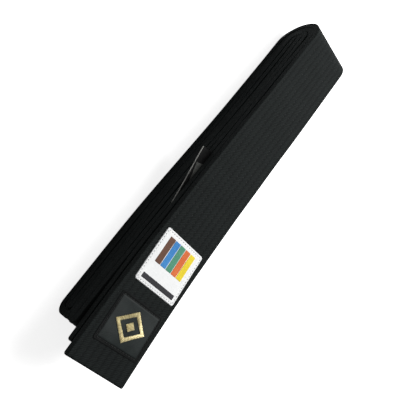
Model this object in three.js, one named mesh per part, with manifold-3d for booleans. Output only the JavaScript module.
// A martial arts belt: one long padded cotton strap, folded in half three times and laid flat.
// Millimetres. X runs along the folded belt from the free ends to the round far folds,
// +Y is the side where the layers' edges show, Z is up. The belt lies on the plane Z = 0.
//
// The strap is a cotton cover wrapped round two core plies. Eight layers lie on each other.
// Layer 1, on top, ends in the labelled free end and layer 2 in the other free end.
// From the labelled end the strap runs through the layers in the order 1 8 5 4 3 6 7 2.
import * as THREE from 'three';
import Module from 'manifold-3d';

// ---- driving dimensions -------------------------------------------------------------
const BELT_WIDTH = 45;
const BELT_THICKNESS = 4.6;
const FOLDED_LENGTH = 311;
const LAYER_GAP = 0.4;            // air between two layers that lie on each other
const FIT_GAP = 0.3;              // air between two pieces that touch
const COVER_THICKNESS = 0.5;
const SEAM_WIDTH = 0.6;           // where the two edges of the cover meet
const SEAM_OVERCUT = 0.1;         // the seam's cut runs this far past the cover's two faces
const SEAM_SIDE = -1;             // the face that the seam is on: under the labelled end
const EDGE_ROUNDING = 1.3;        // how far the strap's long edges are rounded over
const EDGE_SHARE = 0.6;           // the hollow starts this share of the rounding inside the edge
const HEM_LENGTH = 1.5;           // the cover's folded-in end at each free end
const SECOND_END_SETBACK = 5.3;   // free end of layer 2 behind the free end of layer 1
const FOLD_SETBACK = 13.2;        // near folds behind the free end of layer 1
const BOTTOM_FOLD_CORNER = 6;     // the wide near fold is pressed nearly square at the bottom
const INNER_FOLD_GAP = 0.5;       // air between it and the fold inside it
const LIFT_SETBACK = 22.8;        // both free ends lift from the stack this far before the far folds
const LABEL_LIFT_SETBACK = 68;    // the labelled end lifts from the other this far before that line
const ARC_STEPS_WIDE = 14;        // facets in a wide half-turn
const ARC_STEPS_TIGHT = 10;       // facets in a tight half-turn

// A label is as wide as the strap less a margin on each side, and starts at a distance from the tip.
const sewnOn = ({ length, height, start, margin, offMiddle }) => ({
  length, height, along: start + length / 2,
  width: BELT_WIDTH - 2 * margin, across: BELT_WIDTH / 2 + offMiddle,
});
const BARE_TIP = 15.5;            // strap left bare between the free end and the first label
const BLACK_LABEL = sewnOn({ length: 32, height: 1.2, start: BARE_TIP, margin: 4, offMiddle: 1.3 });
const LABEL_SPACING = 9.05;
const WHITE_START = BARE_TIP + BLACK_LABEL.length + LABEL_SPACING;
const WHITE_LABEL = sewnOn({ length: 38.5, height: 0.7, start: WHITE_START, margin: 4.15, offMiddle: 0.2 });
const LABEL_TILT = 3 * Math.PI / 180;   // the labels are sewn on slightly askew
const LABEL_CORNER = 1.6;
const LEDGE_INSET = 1.0;          // stitch line's distance inside a label's edge
const LEDGE_WIDTH = 1.3;
const LEDGE_DEPTH = 0.35;
const THREAD = 0.6;               // width of a stitched line
const MOTIF_MARGIN = { along: 5.5, across: 6 };   // from the motif to the black label's edges
const MOTIF_LENGTH = BLACK_LABEL.length - 2 * MOTIF_MARGIN.along;
const MOTIF_WIDTH = BLACK_LABEL.width - 2 * MOTIF_MARGIN.across;
const MOTIF_BAND = 3.4;
const MOTIF_CENTRE_SHARE = 0.3;
const MOTIF_HEIGHT = 0.5;
const PRINT_HEIGHT = 0.25;
// On the white label, from its end near the tip: a bar, then a block of stripes side by side.
const WORD_BAR = { length: 3.4, start: 3.05, margin: 3.35 };
const STRIPES = { spacing: 9.3, end: 3.75, margin: 5.5 };
const PRINT_CORNER = 0.4;
const SMALLEST_CORNER = 0.2;      // a rounded outline inside another keeps at least this radius
const CORNER_FACETS = 4;          // facets in a label's rounded corner
const CARE_CORNER = 0.5;
const WELD = 1e-4;                // points nearer to each other than this are one point
const CARE_LABEL = { length: 47, width: 15, height: 0.6, along: 134, across: 4.3 };
const CARE_TURN = 8.4 * Math.PI / 180;
const TAIL_GAP = CARE_LABEL.height + 2 * FIT_GAP;   // air under the two free ends, round the care label

// ---- levels and folds ---------------------------------------------------------------
const HALF = BELT_THICKNESS / 2;
const PITCH = BELT_THICKNESS + LAYER_GAP;
const EXTRA = TAIL_GAP - LAYER_GAP;
const NEAR_X = -FOLDED_LENGTH / 2;
const level = layer => HALF + (8 - layer) * PITCH + (layer <= 2 ? EXTRA : 0);
const TOP = level(1) + HALF;
const farTurnRadius = (level(1) - level(8)) / 2;
const FAR_X = FOLDED_LENGTH / 2 - farTurnRadius - HALF;
const LIFT_LINE = FAR_X - NEAR_X - LIFT_SETBACK;   // both lift lines are distances from the free end
const LABEL_LIFT_LINE = LIFT_LINE - LABEL_LIFT_SETBACK;
const along = distance => NEAR_X + distance;
const tightTurn = PITCH / 2;
const tightNearX = along(FOLD_SETBACK) + tightTurn + HALF;
const wideNearX = along(FOLD_SETBACK) + BOTTOM_FOLD_CORNER + HALF;

/** Points of an arc from one angle to another about a centre, in the XZ plane. */
function arc(cx, cz, radius, from, to, steps) {
  const points = [];
  for (let i = 0; i <= steps; i++) {
    const a = from + (to - from) * i / steps;
    points.push(new THREE.Vector2(cx + radius * Math.cos(a), cz + radius * Math.sin(a)));
  }
  return points;
}

/** A half-turn at the far end, between two layers. It runs down if the first is the upper one. */
function farTurn(a, b, steps) {
  const cz = (level(a) + level(b)) / 2, r = Math.abs(level(a) - level(b)) / 2;
  const s = a < b ? 1 : -1;
  return arc(FAR_X, cz, r, s * Math.PI / 2, -s * Math.PI / 2, steps);
}

/** A tight half-turn at the near end, between two neighbouring layers. */
function nearTurn(a, b, cx) {
  const cz = (level(a) + level(b)) / 2, r = Math.abs(level(a) - level(b)) / 2;
  const s = a < b ? 1 : -1;
  return arc(cx, cz, r, s * Math.PI / 2, s * 3 * Math.PI / 2, ARC_STEPS_TIGHT);
}

/** The wide near fold from layer 8 up to layer 5: two corners, the upper one tight, and an upright. */
function wideNearTurn() {
  const r = BOTTOM_FOLD_CORNER, steps = ARC_STEPS_TIGHT / 2;
  return [
    ...arc(wideNearX, level(8) + r, r, -Math.PI / 2, -Math.PI, steps),
    ...arc(tightNearX, level(5) - tightTurn, tightTurn, Math.PI, Math.PI / 2, steps),
  ];
}

const innerNearX = along(FOLD_SETBACK) + BELT_THICKNESS + INNER_FOLD_GAP + tightTurn + HALF;
const onLayer = (layer, distance) => new THREE.Vector2(along(distance), level(layer));

// The centre line, from the labelled end to the other one. The covers' outer face is on its left.
const labelEndPath = [onLayer(1, 0), onLayer(1, LABEL_LIFT_LINE - FIT_GAP / 2)];
const labelRootPath = [onLayer(1, LABEL_LIFT_LINE + FIT_GAP / 2), onLayer(1, LIFT_LINE - FIT_GAP / 2)];
const stackPath = [
  onLayer(1, LIFT_LINE + FIT_GAP / 2),
  ...farTurn(1, 8, ARC_STEPS_WIDE),
  ...wideNearTurn(),
  ...farTurn(5, 4, ARC_STEPS_TIGHT),
  ...nearTurn(4, 3, tightNearX),
  ...farTurn(3, 6, ARC_STEPS_WIDE),
  ...nearTurn(6, 7, innerNearX),
  ...farTurn(7, 2, ARC_STEPS_WIDE),
  onLayer(2, LIFT_LINE + FIT_GAP / 2),
];
const secondEndPath = [onLayer(2, LIFT_LINE - FIT_GAP / 2), onLayer(2, SECOND_END_SETBACK)];

// ---- solids -------------------------------------------------------------------------
const wasm = await Module();
wasm.setup();

/** Unit normals of a centre line, one per point, mitred at each corner. */
function mitres(path) {
  return path.map((p, i) => {
    const before = i ? p.clone().sub(path[i - 1]).normalize() : null;
    const after = i < path.length - 1 ? path[i + 1].clone().sub(p).normalize() : null;
    const a = before || after, b = after || before;
    const n = new THREE.Vector2(-(a.y + b.y), a.x + b.x).normalize();
    return n.divideScalar(n.dot(new THREE.Vector2(-a.y, a.x)));
  });
}

/** A closed solid: a cross-section of [y, offset] points, run along a centre line in the XZ plane. */
function sweep(path, points) {
  const outline = points.map(([y, o]) => new THREE.Vector2(y, o));
  const section = THREE.ShapeUtils.isClockWise(outline) ? [...points].reverse() : points;
  const n = mitres(path), m = section.length, positions = [], faces = [];
  path.forEach((p, i) => section.forEach(([y, o]) => positions.push(p.x + n[i].x * o, y, p.y + n[i].y * o)));
  for (let i = 0; i < path.length - 1; i++) {
    for (let j = 0; j < m; j++) {
      const k = (j + 1) % m, a = i * m + j, b = i * m + k, c = (i + 1) * m + k, d = (i + 1) * m + j;
      faces.push([a, b, c], [a, c, d]);
    }
  }
  const cap = THREE.ShapeUtils.triangulateShape(section.map(([y, o]) => new THREE.Vector2(y, o)), []);
  const last = (path.length - 1) * m;
  cap.forEach(([a, b, c]) => faces.push([c, b, a], [last + a, last + b, last + c]));
  return solid(positions, faces);
}

/** Indexed geometry that faces outward, whichever way round its triangles were listed. */
function solid(positions, faces) {
  let volume = 0;
  const v = i => new THREE.Vector3(positions[3 * i], positions[3 * i + 1], positions[3 * i + 2]);
  faces.forEach(([a, b, c]) => { volume += v(a).dot(v(b).cross(v(c))); });
  const index = faces.flatMap(f => (volume < 0 ? [f[0], f[2], f[1]] : f));
  const geometry = new THREE.BufferGeometry();
  geometry.setAttribute('position', new THREE.BufferAttribute(new Float32Array(positions), 3));
  geometry.setIndex(index);
  return geometry;
}

function toManifold(geometry) {
  return new wasm.Manifold(new wasm.Mesh({
    numProp: 3,
    vertProperties: new Float32Array(geometry.attributes.position.array),
    triVerts: new Uint32Array(geometry.index.array),
  }));
}

function fromManifold(body) {
  const mesh = body.getMesh();
  const geometry = new THREE.BufferGeometry();
  geometry.setAttribute('position', new THREE.BufferAttribute(new Float32Array(mesh.vertProperties), 3));
  geometry.setIndex(Array.from(mesh.triVerts));
  return geometry;
}

/** The strap's full cross-section, with rounded long edges. */
function strapSection() {
  const w = BELT_WIDTH / 2, r = EDGE_ROUNDING, side = [];
  const corner = [0, 1, 2].map(i => i * Math.PI / 4);
  corner.forEach(a => side.push([w - r + r * Math.sin(a), HALF - r + r * Math.cos(a)]));
  const right = [...side, ...side.map(([y, o]) => [y, -o]).reverse()];
  return [...right, ...right.map(([y, o]) => [-y, o]).reverse()];
}

const box = (y0, y1, o0, o1) => [[y0, o0], [y1, o0], [y1, o1], [y0, o1]];
const hollowTop = HALF - COVER_THICKNESS;
const hollowSide = BELT_WIDTH / 2 - Math.max(COVER_THICKNESS, EDGE_ROUNDING * EDGE_SHARE);

/** A centre line whose last point is moved back (or on, if negative) by a distance. */
function shortenedEnd(path, distance) {
  const end = path[path.length - 1], back = path[path.length - 2].clone().sub(end).normalize();
  return [...path.slice(0, -1), end.clone().addScaledVector(back, distance)];
}

/** A centre line whose two ends are moved back by a distance each. */
function shortened(path, atStart, atEnd) {
  return shortenedEnd([...shortenedEnd(path, atEnd)].reverse(), atStart).reverse();
}

/** The cover: a sleeve with its seam open along one face, and hemmed shut at a free end. */
function cover(path, hems) {
  const [atStart, atEnd] = hems.map(hemmed => (hemmed ? HEM_LENGTH : -HEM_LENGTH));
  const hollow = shortened(path, atStart, atEnd);
  const outside = SEAM_SIDE * (HALF + SEAM_OVERCUT), inside = SEAM_SIDE * (hollowTop - SEAM_OVERCUT);
  const seam = box(-SEAM_WIDTH / 2, SEAM_WIDTH / 2, outside, inside);
  const sleeve = toManifold(sweep(path, strapSection()))
    .subtract(toManifold(sweep(hollow, box(-hollowSide, hollowSide, -hollowTop, hollowTop))))
    .subtract(toManifold(sweep(hollow, seam)));
  return fromManifold(sleeve);
}

/** One of the two core plies inside a cover. */
function ply(path, side, hems) {
  const [atStart, atEnd] = hems.map(hemmed => (hemmed ? HEM_LENGTH + FIT_GAP : 0));
  const inner = shortened(path, atStart, atEnd);
  const o0 = side * FIT_GAP / 2, o1 = side * (hollowTop - FIT_GAP);
  const w = hollowSide - FIT_GAP;
  return sweep(inner, box(-w, w, Math.min(o0, o1), Math.max(o0, o1)));
}

// ---- labels -------------------------------------------------------------------------
/** A flat shape stood up by a height, as indexed geometry with merged corners. */
function slab(shape, height) {
  const options = { depth: height, bevelEnabled: false, curveSegments: CORNER_FACETS };
  const g = new THREE.ExtrudeGeometry(shape, options);
  const position = g.attributes.position, seen = new Map(), positions = [], faces = [], ids = [];
  for (let i = 0; i < position.count; i++) {
    const p = [position.getX(i), position.getY(i), position.getZ(i)];
    const key = p.map(c => Math.round(c / WELD)).join();
    if (!seen.has(key)) { seen.set(key, positions.length / 3); positions.push(...p); }
    ids.push(seen.get(key));
  }
  for (let i = 0; i < ids.length; i += 3) faces.push([ids[i], ids[i + 1], ids[i + 2]]);
  return solid(positions, faces);
}

function roundedRect(length, width, r) {
  const s = new THREE.Shape(), x = length / 2, y = width / 2;
  s.moveTo(-x + r, -y); s.lineTo(x - r, -y); s.absarc(x - r, -y + r, r, -Math.PI / 2, 0);
  s.lineTo(x, y - r); s.absarc(x - r, y - r, r, 0, Math.PI / 2);
  s.lineTo(-x + r, y); s.absarc(-x + r, y - r, r, Math.PI / 2, Math.PI);
  s.lineTo(-x, -y + r); s.absarc(-x + r, -y + r, r, Math.PI, Math.PI * 3 / 2);
  return s;
}

/** A closed frame between two rounded rectangles. */
function ring(length, width, corner, inset, band) {
  const inward = distance => roundedRect(length - 2 * distance, width - 2 * distance,
    Math.max(corner - distance, SMALLEST_CORNER));
  const s = inward(inset);
  s.holes.push(inward(inset + band));
  return s;
}

/** Geometry moved to its place on the belt: turned, then set by its distance along and across. */
function placed(geometry, part, base, turn = LABEL_TILT) {
  geometry.rotateZ(turn);
  geometry.translate(along(part.along), BELT_WIDTH / 2 - part.across, base);
  return geometry;
}

/** A label with a sunken line round it for its stitches. */
function label(part) {
  const blank = toManifold(slab(roundedRect(part.length, part.width, LABEL_CORNER), part.height));
  const groove = slab(ring(part.length, part.width, LABEL_CORNER, LEDGE_INSET, LEDGE_WIDTH), part.height);
  groove.translate(0, 0, part.height - LEDGE_DEPTH);
  return fromManifold(blank.subtract(toManifold(groove)));
}

/** The line of stitches in a label's sunken line. */
function labelStitches(part) {
  const inset = LEDGE_INSET + (LEDGE_WIDTH - THREAD) / 2;
  return slab(ring(part.length, part.width, LABEL_CORNER, inset, THREAD), LEDGE_DEPTH);
}

function lozenge(length, width) {
  const s = new THREE.Shape();
  s.moveTo(length / 2, 0); s.lineTo(0, width / 2); s.lineTo(-length / 2, 0); s.lineTo(0, -width / 2);
  s.closePath();
  return s;
}

const labelBase = TOP + FIT_GAP;
const blackTop = labelBase + BLACK_LABEL.height, whiteTop = labelBase + WHITE_LABEL.height;

function motifFrame() {
  const s = lozenge(MOTIF_LENGTH, MOTIF_WIDTH);
  s.holes.push(lozenge(MOTIF_LENGTH - 2 * MOTIF_BAND, MOTIF_WIDTH - 2 * MOTIF_BAND));
  return slab(s, MOTIF_HEIGHT);
}

/** A printed rectangle on the white label: where it starts and ends along it, its width and offset. */
function print(start, end, width, offset) {
  const g = slab(roundedRect(end - start, width, PRINT_CORNER), PRINT_HEIGHT);
  g.translate((start + end - WHITE_LABEL.length) / 2, offset, 0);
  return placed(g, WHITE_LABEL, whiteTop + FIT_GAP);
}

// ---- the pieces ---------------------------------------------------------------------
const belt = new THREE.Group();
belt.name = 'martial_arts_belt';

function add(name, geometry, color, roughness, metalness = 0) {
  const flat = geometry.toNonIndexed();
  flat.computeVertexNormals();
  const mesh = new THREE.Mesh(flat, new THREE.MeshStandardMaterial({ color, roughness, metalness }));
  mesh.name = name;
  belt.add(mesh);
}

const BLACK_COTTON = 0x2a2e2e, CORE_COTTON = 0xd9d2c0, BLACK_SATIN = 0x24292b, BLACK_THREAD = 0x1a1d1d;
const GOLD_THREAD = 0xc9b36a, WHITE_WEAVE = 0xf2f2ef, GREY_THREAD = 0xc8c8c4;

// Each length of the strap, and which of its two ends is a hemmed free end.
const straps = [
  ['stack', stackPath, [false, false]],
  ['second_end', secondEndPath, [false, true]],
  ['label_end_root', labelRootPath, [false, false]],
  ['label_end', labelEndPath, [true, false]],
];
for (const [name, path, hems] of straps) {
  add(`cover_${name}`, cover(path, hems), BLACK_COTTON, 0.9);
  add(`core_ply_a_${name}`, ply(path, 1, hems), CORE_COTTON, 0.95);
  add(`core_ply_b_${name}`, ply(path, -1, hems), CORE_COTTON, 0.95);
}

add('black_label', placed(label(BLACK_LABEL), BLACK_LABEL, labelBase), BLACK_SATIN, 0.45);
add('black_label_stitches', placed(labelStitches(BLACK_LABEL), BLACK_LABEL, blackTop - LEDGE_DEPTH + FIT_GAP),
  BLACK_THREAD, 0.7);
add('gold_motif_frame', placed(motifFrame(), BLACK_LABEL, blackTop + FIT_GAP), GOLD_THREAD, 0.4, 0.5);
add('gold_motif_centre',
  placed(slab(lozenge(MOTIF_LENGTH * MOTIF_CENTRE_SHARE, MOTIF_WIDTH * MOTIF_CENTRE_SHARE), MOTIF_HEIGHT),
    BLACK_LABEL, blackTop + FIT_GAP), GOLD_THREAD, 0.4, 0.5);

add('white_label', placed(label(WHITE_LABEL), WHITE_LABEL, labelBase), WHITE_WEAVE, 0.8);
add('white_label_stitches', placed(labelStitches(WHITE_LABEL), WHITE_LABEL, whiteTop - LEDGE_DEPTH + FIT_GAP),
  GREY_THREAD, 0.8);
const inks = { yellow: 0xe8c52a, orange: 0xd9772b, green: 0x3f9a52, blue: 0x2f62b5, brown: 0x6b4630 };
const barEnd = WORD_BAR.start + WORD_BAR.length;
const stripeSpan = [barEnd + STRIPES.spacing, WHITE_LABEL.length - STRIPES.end];
const stripePitch = (WHITE_LABEL.width - 2 * STRIPES.margin + FIT_GAP) / Object.keys(inks).length;
Object.entries(inks).forEach(([name, color], i, { length }) => {
  const stripe = print(...stripeSpan, stripePitch - FIT_GAP, (i - (length - 1) / 2) * stripePitch);
  add(`print_stripe_${name}`, stripe, color, 0.75);
});
const barWidth = WHITE_LABEL.width - 2 * WORD_BAR.margin;
add('print_word_bar', print(WORD_BAR.start, barEnd, barWidth, 0), 0x222222, 0.75);

const careTape = slab(roundedRect(CARE_LABEL.length, CARE_LABEL.width, CARE_CORNER), CARE_LABEL.height);
add('care_label', placed(careTape, CARE_LABEL, level(3) + HALF + FIT_GAP, CARE_TURN), 0xd6d6d2, 0.8);

export default belt;
